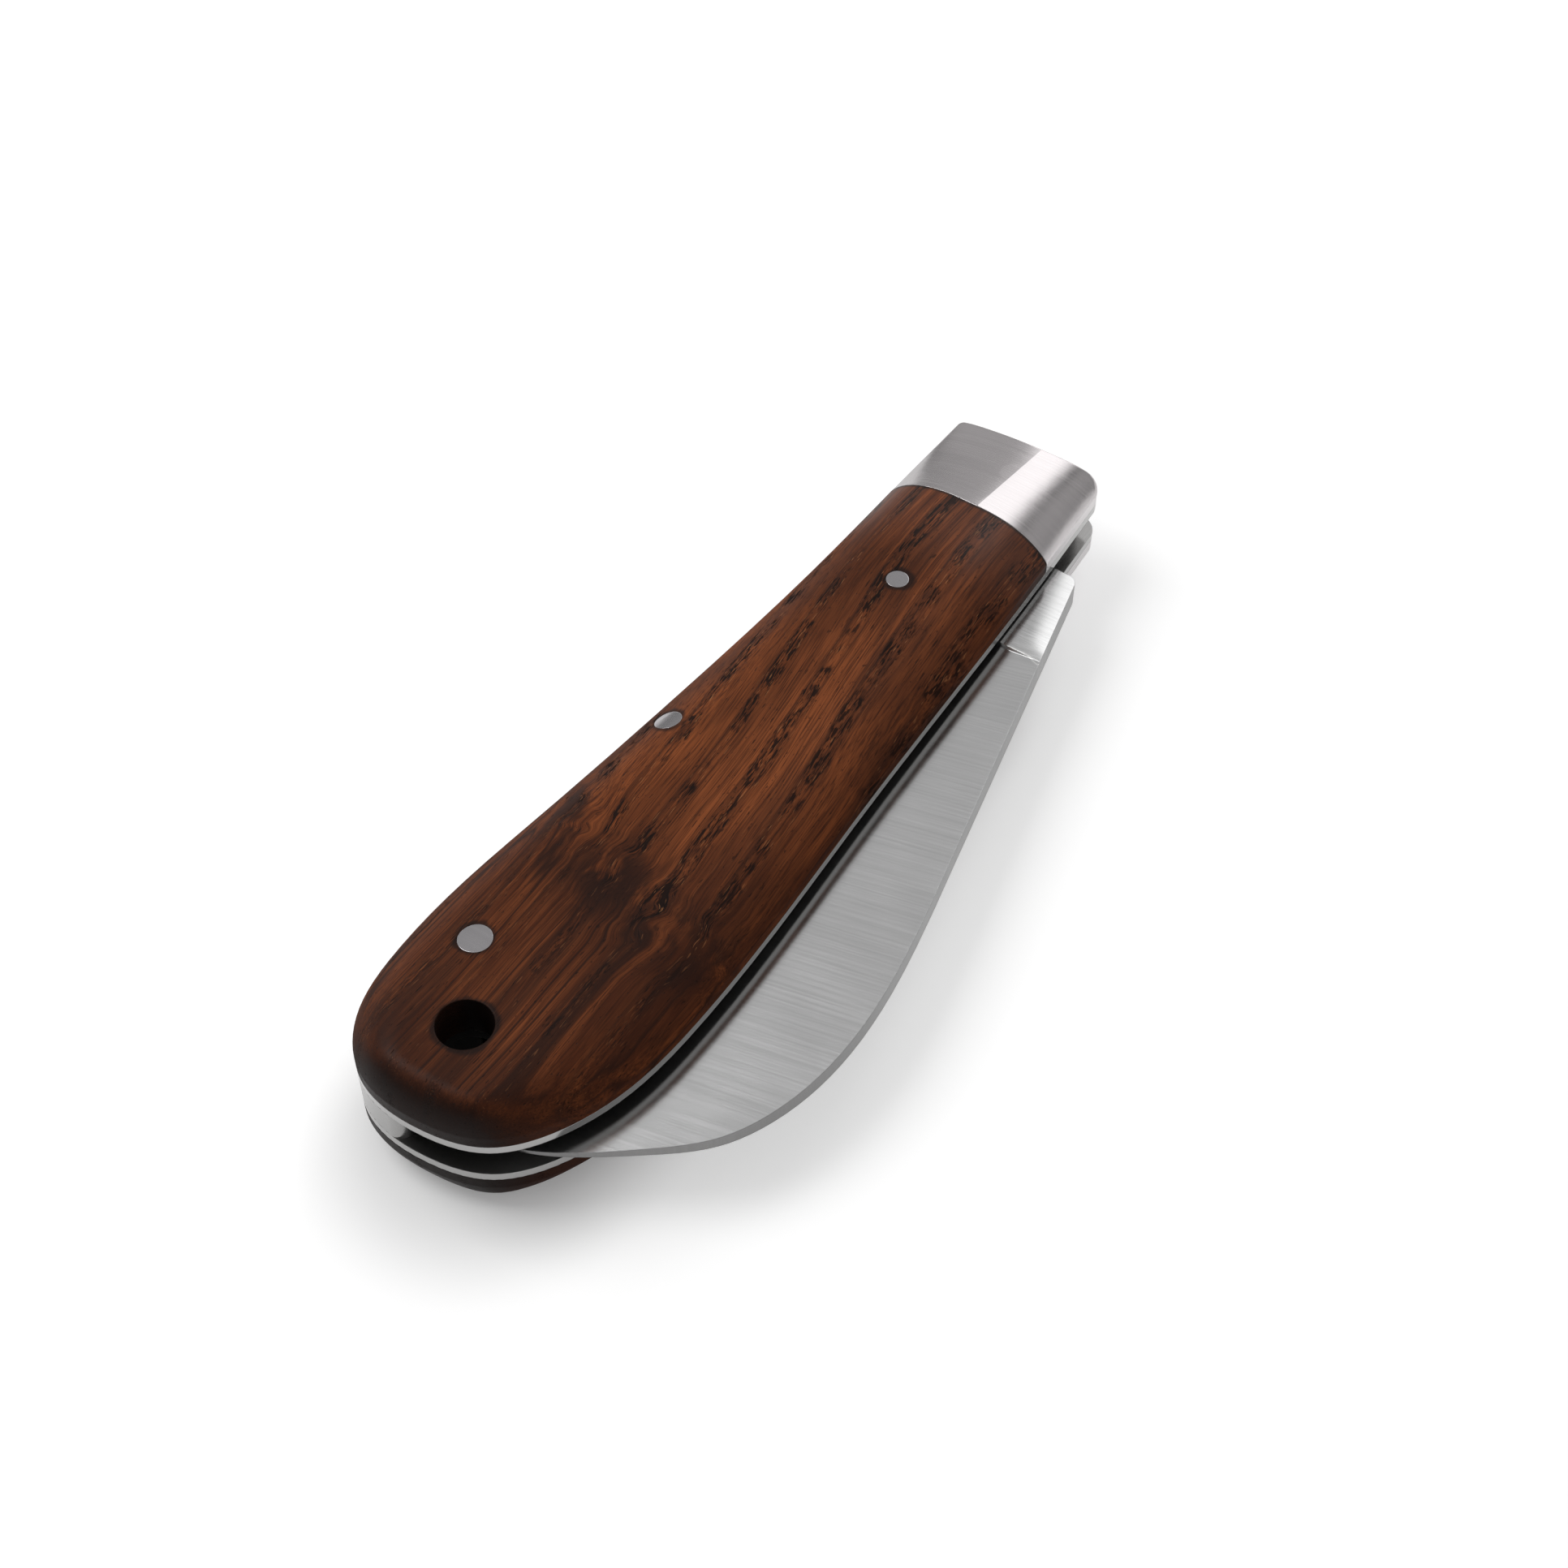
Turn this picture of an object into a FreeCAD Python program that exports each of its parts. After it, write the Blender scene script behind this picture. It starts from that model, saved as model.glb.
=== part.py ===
"""Folding pocket knife with one sheepfoot blade, a back spring, steel liners, bolsters and wooden scales.

The closed knife lies on its lower scale. X runs from the bolster end to the butt, Y towards the side
where the blade stands out of the handle, and Z up through the thickness. The origin is on the flat of
the lower scale, on the handle's axis at mid length. All sizes are in millimetres.
"""
import FreeCAD
import Part
import Sketcher
import math
import os
import re
from types import SimpleNamespace

Vector = FreeCAD.Vector

DIMENSIONS = {
    # Handle outline
    "handle_length": 110.0,
    "bolster_length": 14.5,
    "end_reach_front": 9.5,
    "end_reach_back": 9.95,
    "joint_reach_front": 10.4,
    "joint_reach_back": 10.1,
    "butt_reach_front": 14.15,
    "butt_reach_back": 14.55,
    "butt_round_length": 24.0,
    "butt_fullness_front": 2.2,
    "butt_fullness_back": 3.3,
    "end_corner_front_radius": 2.6,
    "end_corner_back_radius": 0.8,
    # Thickness, from the slot outwards
    "slot_gap": 3.65,
    "liner_thickness": 1.0,
    "side_wall_height": 1.4,
    "crown_rise": 3.7,
    "crown_side_run": 8.6,
    "crown_butt_run": 3.2,
    "crown_edge_angle": 24.0,
    "bolster_end_rise": 1.35,
    "bolster_end_run_front": 5.2,
    "bolster_end_run_back": 13.5,
    "bolster_rim_radius": 0.5,
    # Pins, rivets and the lanyard hole, each with its distance from an end and from the handle's axis
    "pivot_diameter": 4.0,
    "pivot_from_end": 6.3,
    "pivot_offset": 1.4,
    "centre_pin_diameter": 2.9,
    "centre_pin_from_butt": 51.4,
    "centre_pin_offset": 9.0,
    "butt_pin_diameter": 3.5,
    "butt_pin_from_butt": 17.5,
    "butt_pin_offset": 7.0,
    "rivet_diameter": 2.5,
    "rivet_from_bolster": 14.5,
    "lanyard_diameter": 5.7,
    "lanyard_from_butt": 9.1,
    "lanyard_offset": 1.4,
    # Blade
    "blade_thickness": 2.9,
    "spine_thickness": 2.85,
    "tip_spine_thickness": 1.9,
    "bevel_thickness": 0.45,
    "edge_thickness": 0.05,
    "edge_bevel_width": 0.8,
    "spine_height": 11.8,
    "spine_angle": 13.15,
    "belly_height": 25.55,
    "tip_from_butt": 4.3,
    "tip_offset": 6.6,
    "plunge_from_pivot": 18.9,
    "plunge_run": 1.2,
    "heel_offset": 0.5,
    "heel_radius": 1.0,
    "nick_from_pivot": 57.0,
    "nick_below_spine": 5.0,
    "nick_radius": 28.0,
    "nick_width": 1.5,
    "nick_depth": 0.6,
    "nick_tilt_angle": 25.0,
    # Tang, where the blade turns on the pivot and bears on the spring
    "tang_half_height": 6.0,
    "tang_set_back": 0.2,
    "tang_corner_radius": 2.0,
    "shoulder_from_pivot": 5.8,
    "shoulder_radius": 1.5,
    "notch_radius": 0.4,
    "kick_from_pivot": 10.2,
    "kick_run": 2.5,
    "kick_drop": 1.1,
    "kick_radius": 0.8,
    # Back spring
    "spring_tail_offset": 2.3,
    "spring_tail_length": 14.0,
    "spring_tail_radius": 1.6,
    "spring_slope_length": 11.0,
    "spring_shoulder_offset": 5.0,
    "spring_middle_offset": 6.0,
    "spring_waist_from_pivot": 26.7,
    "spring_waist_offset": 6.3,
    "spring_foot_from_pivot": 12.7,
    "spring_bend_radius": 8.0,
    "spring_back_radius": 30.0,
    # Washers and fits
    "washer_diameter": 10.8,
    "running_clearance": 0.05,
    "cut_overrun": 2.0,
}

# Outline of the tapered grip: share of its length from the bolster, share of the swell towards the butt.
FRONT_TAPER_SHARES = ((0.566, 0.587), (1.0, 1.0))
BACK_TAPER_SHARES = ((0.189, 0.034), (0.566, 0.361), (0.846, 0.74), (1.0, 0.955))
# Directions round the butt, in degrees from across the grip, at which its curve is set out.
BUTT_ANGLES = (15, 40, 65)
# How far the butt squares up towards the top of the crown.
CREST_FULLNESS_SHARE = 0.5
# Stations along the bolster, as shares of its length from its end.
BOLSTER_SHARES = (-0.1, 0.2, 0.5, 0.8, 1.0)
# Blade belly: share of the reach from pivot to tip, share of the height from tip to belly.
BELLY_SHARES = (
    (0.717, 0.997), (0.831, 0.912), (0.88, 0.79), (0.929, 0.543), (0.955, 0.383), (0.985, 0.166),
)
# Share of the reach from pivot to tip over which the spine is straight.
SPINE_STRAIGHT_SHARE = 0.53
# Outlines that the crown is lofted through, and steps from the wall to the top of a bolster's arch.
CROWN_LEVELS = 6
ARCH_STEPS = 3

doc = FreeCAD.newDocument("pocket_knife")
sheet = doc.addObject("Spreadsheet::Sheet", "dims")
for row, (alias, number) in enumerate(DIMENSIONS.items(), start=1):
    sheet.set(f"A{row}", alias)
    sheet.set(f"B{row}", str(number))
    sheet.setAlias(f"B{row}", alias)
doc.recompute()
dims = SimpleNamespace(**{alias: float(sheet.get(alias)) for alias in DIMENSIONS})

# Heights of the layers, as expressions of the sheet, from the rest plane upwards.
COVER = "(side_wall_height + crown_rise)"
SLOT_FLOOR = f"({COVER} + liner_thickness)"
SLOT_CEILING = f"({SLOT_FLOOR} + slot_gap)"
LINER_TOP = f"({SLOT_CEILING} + liner_thickness)"
MIDDLE = f"({SLOT_FLOOR} + slot_gap / 2)"
BUTT_END = "handle_length / 2"
BOLSTER_END = "-handle_length / 2"

cover_height = dims.side_wall_height + dims.crown_rise
middle_height = cover_height + dims.liner_thickness + dims.slot_gap / 2
butt_end = dims.handle_length / 2
bolster_end = -dims.handle_length / 2
joint_x = bolster_end + dims.bolster_length
round_start = butt_end - dims.butt_round_length
edge_angle = math.radians(dims.crown_edge_angle)


def in_sheet(text):
    """An expression of named sizes, with each name pointed at its cell."""
    return re.sub(r"[a-z]\w*", lambda word: f"dims.{word[0]}", text)


def bind(item, **expressions):
    """Tie properties of an object to the sheet; x, y and z stand for its place."""
    for key, text in expressions.items():
        path = f"Placement.Base.{key}" if key in ("x", "y", "z") else key
        item.setExpression(path, in_sheet(text))
    return item


def add(kind, name, **properties):
    """Add an object to the document and set its plain properties."""
    item = doc.addObject(kind, name)
    for key, value in properties.items():
        setattr(item, key, value)
    return item


def profile(name, edges, height=0.0):
    """A wire of the given edges, lifted to a height."""
    item = add("Part::Feature", name, Shape=Part.Wire(edges))
    item.Placement.Base = Vector(0, 0, height)
    return item


def plate(name, base, thickness, z):
    """A flat plate of an outline, with its thickness and height bound to the sheet."""
    item = add("Part::Extrusion", name, Base=base, DirMode="Custom", Dir=Vector(0, 0, 1), Solid=True)
    return bind(item, LengthFwd=thickness, z=z)


def fuse(name, items):
    return add("Part::MultiFuse", name, Shapes=items)


def cut(name, base, tool):
    return add("Part::Cut", name, Base=base, Tool=tool)


def common(name, base, tool):
    return add("Part::Common", name, Base=base, Tool=tool)


def mirrored(name, source):
    """The same piece on the other side of the knife's middle plane."""
    item = add("Part::Mirroring", name, Source=source, Normal=Vector(0, 0, 1))
    item.setExpression("Base.z", in_sheet(MIDDLE))
    return item


def rounded_path(corners):
    """Edges along (x, y, radius) corners; the first and last corners stay sharp."""
    points = [Vector(x, y, 0) for x, y, radius in corners]
    edges = []
    pen = points[0]
    for before, corner, after, (x, y, radius) in zip(points, points[1:], points[2:], corners[1:]):
        inward = (before - corner).normalize()
        outward = (after - corner).normalize()
        half_angle = inward.getAngle(outward) / 2
        setback = radius / math.tan(half_angle)
        start = corner + inward * setback
        finish = corner + outward * setback
        bisector = (inward + outward).normalize()
        middle = corner + bisector * (radius / math.sin(half_angle) - radius)
        edges.append(Part.LineSegment(pen, start).toShape())
        edges.append(Part.Arc(start, middle, finish).toShape())
        pen = finish
    edges.append(Part.LineSegment(pen, points[-1]).toShape())
    return edges


def corner_arc(start, corner, finish):
    """Quarter of a circle that rounds a square corner from start to finish."""
    middle = start + finish - corner
    away = (corner - middle).normalize()
    return Part.Arc(start, middle + away * middle.distanceToPoint(start), finish)


def taper_points(joint_reach, round_reach, shares, side):
    """Points along the tapered grip, from the bolster joint to the start of the round butt."""
    points = [Vector(joint_x, side * joint_reach, 0)]
    for along, swell in shares:
        x = joint_x + along * (round_start - joint_x)
        points.append(Vector(x, side * (joint_reach + swell * (round_reach - joint_reach)), 0))
    return points


def butt_points(length, reach, fullness, side):
    """Points round half of the butt, on a rounded oblong that squares up with its fullness."""
    points = []
    for degrees in BUTT_ANGLES:
        angle = math.radians(degrees)
        x = round_start + length * math.sin(angle) ** (2 / fullness)
        points.append(Vector(x, side * reach * math.cos(angle) ** (2 / fullness), 0))
    return points


def outline_edges(share):
    """The handle's outline drawn in by a share of the crown: grip and butt in one curve, then the end."""
    inset = dims.crown_side_run * share
    squaring = 1 - CREST_FULLNESS_SHARE * share
    front_half = dims.end_reach_front - inset
    back_half = dims.end_reach_back - inset
    front_corner = dims.end_corner_front_radius * front_half / dims.end_reach_front
    back_corner = dims.end_corner_back_radius * back_half / dims.end_reach_back
    front_reach = dims.butt_reach_front - inset
    back_reach = dims.butt_reach_back - inset
    round_length = dims.butt_round_length - dims.crown_butt_run * share

    front = [Vector(bolster_end + front_corner, front_half, 0)]
    front += taper_points(dims.joint_reach_front - inset, front_reach, FRONT_TAPER_SHARES, 1)
    front += butt_points(round_length, front_reach, dims.butt_fullness_front / squaring, 1)
    back = [Vector(bolster_end + back_corner, -back_half, 0)]
    back += taper_points(dims.joint_reach_back - inset, back_reach, BACK_TAPER_SHARES, -1)
    back += butt_points(round_length, back_reach, dims.butt_fullness_back / squaring, -1)
    points = front + [Vector(round_start + round_length, 0, 0)] + back[::-1]
    grip = Part.BSplineCurve()
    grip.interpolate(Points=points, InitialTangent=front[1] - front[0], FinalTangent=back[0] - back[1])

    front_turn = Vector(bolster_end, front_half - front_corner, 0)
    back_turn = Vector(bolster_end, back_corner - back_half, 0)
    curves = (
        grip,
        corner_arc(back[0], Vector(bolster_end, -back_half, 0), back_turn),
        Part.LineSegment(back_turn, front_turn),
        corner_arc(front_turn, Vector(bolster_end, front_half, 0), front[0]),
    )
    return [curve.toShape() for curve in curves]


def crown_angle(share):
    """Angle along the crown's quarter of an ellipse, at a share of the way from the wall to the top."""
    return edge_angle + (math.pi / 2 - edge_angle) * share


def crown_lift(angle, rise):
    """Height above the wall of a crown of a given rise, at an angle along its ellipse."""
    return rise * (math.sin(angle) - math.sin(edge_angle)) / (1 - math.sin(edge_angle))


def crown_inset_share(angle):
    """Share of the crown's run at an angle along its ellipse."""
    return 1 - math.cos(angle) / math.cos(edge_angle)


def through_pin(name, diameter, x, y):
    """A pin blank through the whole handle."""
    item = add("Part::Cylinder", name)
    height = f"2 * {MIDDLE} + 2 * cut_overrun"
    return bind(item, Radius=f"{diameter} / 2", Height=height, x=x, y=y, z="-cut_overrun")


# Pin blanks, which also drill every hole that they pass through
PIVOT_X = f"({BOLSTER_END} + pivot_from_end)"
RIVET_X = f"({BOLSTER_END} + bolster_length + rivet_from_bolster)"
CENTRE_PIN_X = f"({BUTT_END} - centre_pin_from_butt)"
BUTT_PIN_X = f"({BUTT_END} - butt_pin_from_butt)"
LANYARD_X = f"({BUTT_END} - lanyard_from_butt)"
pivot_blank = through_pin("pivot_blank", "pivot_diameter", PIVOT_X, "pivot_offset")
centre_blank = through_pin("centre_blank", "centre_pin_diameter", CENTRE_PIN_X, "-centre_pin_offset")
butt_blank = through_pin("butt_blank", "butt_pin_diameter", BUTT_PIN_X, "-butt_pin_offset")
lanyard_drill = through_pin("lanyard_drill", "lanyard_diameter", LANYARD_X, "-lanyard_offset")
rivet_drill = through_pin("rivet_drill", "rivet_diameter", RIVET_X, "0")
doc.recompute()
pivot = pivot_blank.Placement.Base
centre_pin_x = centre_blank.Placement.Base.x

# The handle's outline, its core of liners and slot, and the stretch of the upper half that a scale covers
outline = profile("outline", outline_edges(0))
core = plate("core", outline, "slot_gap + 2 * liner_thickness", COVER)
scale_zone = add("Part::Box", "scale_zone")
bind(
    scale_zone,
    Length="handle_length - bolster_length + cut_overrun",
    Width="2 * handle_length",
    Height=f"2 * {MIDDLE}",
    x=f"{BOLSTER_END} + bolster_length",
    y="-handle_length",
    z=MIDDLE,
)

# Scales: an upright wall, then a crown drawn in along a quarter of an ellipse
wall = plate("wall", outline, "side_wall_height", LINER_TOP)
wall_top = middle_height + dims.slot_gap / 2 + dims.liner_thickness + dims.side_wall_height
levels = []
for level in range(CROWN_LEVELS):
    angle = crown_angle(level / (CROWN_LEVELS - 1))
    edges = outline_edges(crown_inset_share(angle))
    levels.append(profile(f"crown_level_{level}", edges, wall_top + crown_lift(angle, dims.crown_rise)))
crown = add("Part::Loft", "crown", Sections=levels, Solid=True, Ruled=False)
scale_blank = common("scale_blank", fuse("crowned_cover", [wall, crown]), scale_zone)
scale_holes = fuse("scale_holes", [centre_blank, butt_blank, rivet_drill, lanyard_drill])
scale_top = cut("scale_top", scale_blank, scale_holes)
scale_bottom = mirrored("scale_bottom", scale_top)


def between(share, at_end, at_joint):
    """A size of the bolster at a share of the way from its end to the joint."""
    return at_end + share * (at_joint - at_end)


def bolster_section(share):
    """Arched section of the bolster at a share of its length; the arch sinks and leans forward to the end."""
    x = bolster_end + share * dims.bolster_length
    rise = between(share, dims.bolster_end_rise, dims.crown_rise)
    front = between(share, dims.end_reach_front, dims.joint_reach_front)
    back = between(share, dims.end_reach_back, dims.joint_reach_back)
    front_run = between(share, dims.bolster_end_run_front, dims.crown_side_run)
    back_run = between(share, dims.bolster_end_run_back, dims.crown_side_run)
    angles = [edge_angle / 2]
    angles += [crown_angle(step / ARCH_STEPS) for step in range(ARCH_STEPS + 1)]
    side = [(crown_inset_share(angle), wall_top + crown_lift(angle, rise)) for angle in angles]
    points = [Vector(x, front - front_run * inset, z) for inset, z in side]
    points += [Vector(x, back_run * inset - back, z) for inset, z in reversed(side)]
    arch = Part.BSplineCurve()
    arch.interpolate(points)
    floor = wall_top - dims.side_wall_height - dims.cut_overrun
    corners = [points[-1], Vector(x, points[-1].y, floor), Vector(x, points[0].y, floor), points[0]]
    sides = [Part.LineSegment(start, finish).toShape() for start, finish in zip(corners, corners[1:])]
    return profile(f"bolster_section_{BOLSTER_SHARES.index(share)}", [arch.toShape()] + sides)


# Bolsters, arched like the scales at the joint, lower at the end, with a rounded upper rim
bolster_sections = [bolster_section(share) for share in BOLSTER_SHARES]
bolster_arch = add("Part::Loft", "bolster_arch", Sections=bolster_sections, Solid=True, Ruled=False)
bolster_prism = cut("bolster_prism", plate("cover_prism", outline, COVER, LINER_TOP), scale_zone)
bolster_sharp = common("bolster_sharp", bolster_arch, bolster_prism)
doc.recompute()
rim_floor = wall_top - dims.side_wall_height / 2
boxes = [edge.BoundBox for edge in bolster_sharp.Shape.Edges]
bolster_blank = add("Part::Fillet", "bolster_blank", Base=bolster_sharp)
bolster_blank.Edges = [
    (number, dims.bolster_rim_radius, dims.bolster_rim_radius)
    for number, box in enumerate(boxes, start=1)
    if box.ZMin > rim_floor and box.XLength > dims.running_clearance
]
bolster_top = cut("bolster_top", bolster_blank, pivot_blank)
bolster_bottom = mirrored("bolster_bottom", bolster_top)

# Liners
all_holes = fuse("all_holes", [scale_holes, pivot_blank])
liner_top = cut("liner_top", plate("liner_blank", outline, "liner_thickness", SLOT_CEILING), all_holes)
liner_bottom = mirrored("liner_bottom", liner_top)

# Pins, ground flush with the crowns, and the short rivets that hold the front of each scale
bolster_stack = fuse("bolster_stack", [bolster_blank, core, mirrored("bolster_blank_below", bolster_blank)])
scale_stack = fuse("scale_stack", [scale_blank, core, mirrored("scale_blank_below", scale_blank)])
pivot_pin = common("pivot_pin", pivot_blank, bolster_stack)
centre_pin = common("centre_pin", centre_blank, scale_stack)
butt_pin = common("butt_pin", butt_blank, scale_stack)
rivet_blank = bind(
    add("Part::Cylinder", "rivet_blank"),
    Radius="rivet_diameter / 2",
    Height=f"{MIDDLE} + cut_overrun",
    x=RIVET_X,
    z=SLOT_CEILING,
)
front_rivet_top = common("front_rivet_top", rivet_blank, scale_stack)
front_rivet_bottom = mirrored("front_rivet_bottom", front_rivet_top)

# Back spring: the back of the slot, thick round its pins, with a waist that bends and a foot on the tang
foot_y = pivot.y - dims.tang_half_height
spring_tip = pivot.x - dims.shoulder_from_pivot + dims.running_clearance
tail_start = butt_end - dims.spring_tail_length
spring_outside = -2 * dims.butt_reach_back
spring_beyond = butt_end + dims.cut_overrun
spring_corners = (
    (spring_beyond, -dims.spring_tail_offset, 0),
    (tail_start, -dims.spring_tail_offset, dims.spring_bend_radius),
    (tail_start - dims.spring_slope_length, -dims.spring_shoulder_offset, dims.spring_bend_radius),
    (centre_pin_x, -dims.spring_middle_offset, dims.spring_back_radius),
    (pivot.x + dims.spring_waist_from_pivot, -dims.spring_waist_offset, dims.spring_back_radius),
    (pivot.x + dims.spring_foot_from_pivot, foot_y, dims.spring_bend_radius),
    (spring_tip, foot_y, dims.notch_radius),
    (spring_tip, spring_outside, dims.notch_radius),
    (spring_beyond, spring_outside, dims.notch_radius),
    (spring_beyond, -dims.spring_tail_offset, 0),
)
spring_outline = profile("spring_outline", rounded_path(spring_corners))
spring_zone = plate("spring_zone", spring_outline, "slot_gap", SLOT_FLOOR)
slot_core = plate("slot_core", outline, "slot_gap", SLOT_FLOOR)
spring_blank = common("spring_blank", slot_core, spring_zone)
doc.recompute()
tail_corner = Vector(butt_end, -dims.spring_tail_offset, middle_height)
tail_gaps = [edge.CenterOfMass.distanceToPoint(tail_corner) for edge in spring_blank.Shape.Edges]
tail_edge = tail_gaps.index(min(tail_gaps)) + 1
spring_rounded = add("Part::Fillet", "spring_rounded", Base=spring_blank)
spring_rounded.Edges = [(tail_edge, dims.spring_tail_radius, dims.spring_tail_radius)]
spring_holes = fuse("spring_holes", [centre_blank, butt_blank, lanyard_drill])
backspring = cut("backspring", spring_rounded, spring_holes)

# Blade profile: edge, heel, kick, tang, spring notch, straight spine and the curve down to the tip
tip = Vector(butt_end - dims.tip_from_butt, dims.tip_offset, 0)
heel = Vector(pivot.x + dims.plunge_from_pivot, -dims.heel_offset, 0)
shoulder_x = pivot.x + dims.shoulder_from_pivot
spine_slope = math.tan(math.radians(dims.spine_angle))
tang_end = pivot.x - dims.pivot_from_end + dims.tang_set_back
bearing = dims.tang_half_height - dims.running_clearance
kick_x = pivot.x + dims.kick_from_pivot
reach = tip.x - pivot.x


def spine_height_at(x):
    """Height of the straight spine line above the handle's axis."""
    return pivot.y + dims.spine_height + (x - shoulder_x) * spine_slope


def edge_height_at(x):
    """Height of the straight cutting edge above the handle's axis."""
    return heel.y + (x - heel.x) * (tip.y - heel.y) / (tip.x - heel.x)


belly_start = pivot.x + SPINE_STRAIGHT_SHARE * reach
belly_end = Vector(belly_start, spine_height_at(belly_start), 0)
belly_rise = pivot.y + dims.belly_height - tip.y
belly_points = [belly_end]
belly_points += [Vector(pivot.x + along * reach, tip.y + up * belly_rise, 0) for along, up in BELLY_SHARES]
belly_points += [tip]
belly = Part.BSplineCurve()
belly.interpolate(Points=belly_points, InitialTangent=Vector(1, spine_slope, 0))
blade_corners = (
    (tip.x, tip.y, 0),
    (heel.x, heel.y, dims.heel_radius),
    (kick_x + dims.kick_run, heel.y - dims.kick_drop, dims.kick_radius),
    (kick_x, pivot.y - bearing, dims.kick_radius),
    (tang_end, pivot.y - bearing, dims.tang_corner_radius),
    (tang_end, pivot.y + bearing, dims.tang_corner_radius),
    (shoulder_x, pivot.y + bearing, dims.notch_radius),
    (shoulder_x, spine_height_at(shoulder_x), dims.shoulder_radius),
    (belly_end.x, belly_end.y, 0),
)
blade_outline = profile("blade_outline", rounded_path(blade_corners) + [belly.toShape()])
blade_stock = plate("blade_stock", blade_outline, "blade_thickness", f"{MIDDLE} - blade_thickness / 2")


def spine_half_at(x):
    """Half of the thickness along the straight spine line, which thins towards the tip."""
    share = (x - heel.x) / (tip.x - heel.x)
    return (dims.spine_thickness + share * (dims.tip_spine_thickness - dims.spine_thickness)) / 2


def grind_section(name, x):
    """Section of the ground blade: a flat taper from spine to edge, with a fine bevel at the edge."""
    spine_half = spine_half_at(x)
    bevel_half = dims.bevel_thickness / 2
    edge_half = dims.edge_thickness / 2
    spine_y = spine_height_at(x)
    edge_y = edge_height_at(x)
    bevel_y = edge_y + dims.edge_bevel_width
    gain = dims.cut_overrun * (spine_half - bevel_half) / (spine_y - bevel_y)
    side = [
        (spine_y + dims.cut_overrun, spine_half + gain),
        (bevel_y, bevel_half),
        (edge_y, edge_half),
        (edge_y - dims.cut_overrun, edge_half),
    ]
    ring = side + [(y, -z) for y, z in reversed(side)]
    points = [Vector(x, y, middle_height + z) for y, z in ring]
    return add("Part::Feature", name, Shape=Part.makePolygon(points + points[:1]))


# Flat grind ahead of the plunge line, full stock behind it, with a short ramp between them
grind_sections = [
    grind_section("grind_at_plunge", heel.x - dims.cut_overrun),
    grind_section("grind_at_tip", tip.x + dims.cut_overrun),
]
grind = add("Part::Loft", "grind", Sections=grind_sections, Solid=True, Ruled=True)
stock_half = dims.blade_thickness / 2
ricasso_side = [
    (bolster_end - dims.cut_overrun, stock_half + dims.cut_overrun),
    (heel.x, stock_half + dims.cut_overrun),
    (heel.x, stock_half),
    (heel.x + dims.plunge_run, 0.0),
]
ricasso_ring = ricasso_side + [(x, -z) for x, z in reversed(ricasso_side[:-1])]
ricasso_points = [Vector(x, -dims.handle_length, middle_height + z) for x, z in ricasso_ring]
ricasso_wire = Part.makePolygon(ricasso_points + ricasso_points[:1])
ricasso_face = add("Part::Feature", "ricasso_face", Shape=ricasso_wire)
along_y = Vector(0, 1, 0)
ricasso = add("Part::Extrusion", "ricasso", Base=ricasso_face, DirMode="Custom", Dir=along_y, Solid=True)
bind(ricasso, LengthFwd="2 * handle_length")
blade_ground = common("blade_ground", blade_stock, fuse("blade_form", [ricasso, grind]))

# Pivot bore, and the nail nick that the rim of a leaning disc cuts into the lower face
bore_diameter = "(pivot_diameter + 2 * running_clearance)"
pivot_bore = through_pin("pivot_bore", bore_diameter, PIVOT_X, "pivot_offset")
nick_x = pivot.x + dims.nick_from_pivot
nick_y = spine_height_at(nick_x) - dims.nick_below_spine
nick_share = (nick_y - edge_height_at(nick_x)) / (spine_height_at(nick_x) - edge_height_at(nick_x))
nick_face = middle_height - nick_share * spine_half_at(nick_x)
nick_cutter = bind(add("Part::Cylinder", "nick_cutter"), Radius="nick_radius", Height="nick_width")
nick_turn = FreeCAD.Rotation(Vector(0, 0, 1), dims.spine_angle)
nick_lean = FreeCAD.Rotation(Vector(1, 0, 0), dims.nick_tilt_angle - 90)
nick_facing = nick_turn.multiply(nick_lean)
nick_corner = Vector(nick_x, nick_y, nick_face + dims.nick_depth)
nick_rim = nick_facing.multVec(Vector(0, -dims.nick_radius, dims.nick_width))
nick_cutter.Placement = FreeCAD.Placement(nick_corner - nick_rim, nick_facing)
blade = cut("blade", blade_ground, fuse("blade_cuts", [pivot_bore, nick_cutter]))


def washer(name, z):
    """A thin pivot washer between the blade and a liner."""
    body = doc.addObject("PartDesign::Body", name)
    sketch = body.newObject("Sketcher::SketchObject", f"{name}_rings")
    plane = next(item for item in body.Origin.OriginFeatures if item.Role == "XY_Plane")
    sketch.AttachmentSupport = [(plane, "")]
    sketch.MapMode = "FlatFace"
    for ring, diameter in enumerate(("washer_diameter", "pivot_diameter")):
        radius = getattr(dims, diameter) / 2
        sketch.addGeometry(Part.Circle(Vector(0, 0, 0), Vector(0, 0, 1), radius))
        sketch.addConstraint(Sketcher.Constraint("Coincident", ring, 3, -1, 1))
        size = sketch.addConstraint(Sketcher.Constraint("Radius", ring, radius))
        sketch.setExpression(f"Constraints[{size}]", f"dims.{diameter} / 2")
    pad = body.newObject("PartDesign::Pad", f"{name}_pad")
    pad.Profile = sketch
    bind(pad, Length="(slot_gap - blade_thickness) / 2 - running_clearance")
    return bind(body, x=PIVOT_X, y="pivot_offset", z=z)


washer_bottom = washer("washer_bottom", SLOT_FLOOR)
washer_top = washer("washer_top", f"{MIDDLE} + blade_thickness / 2 + running_clearance")

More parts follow.
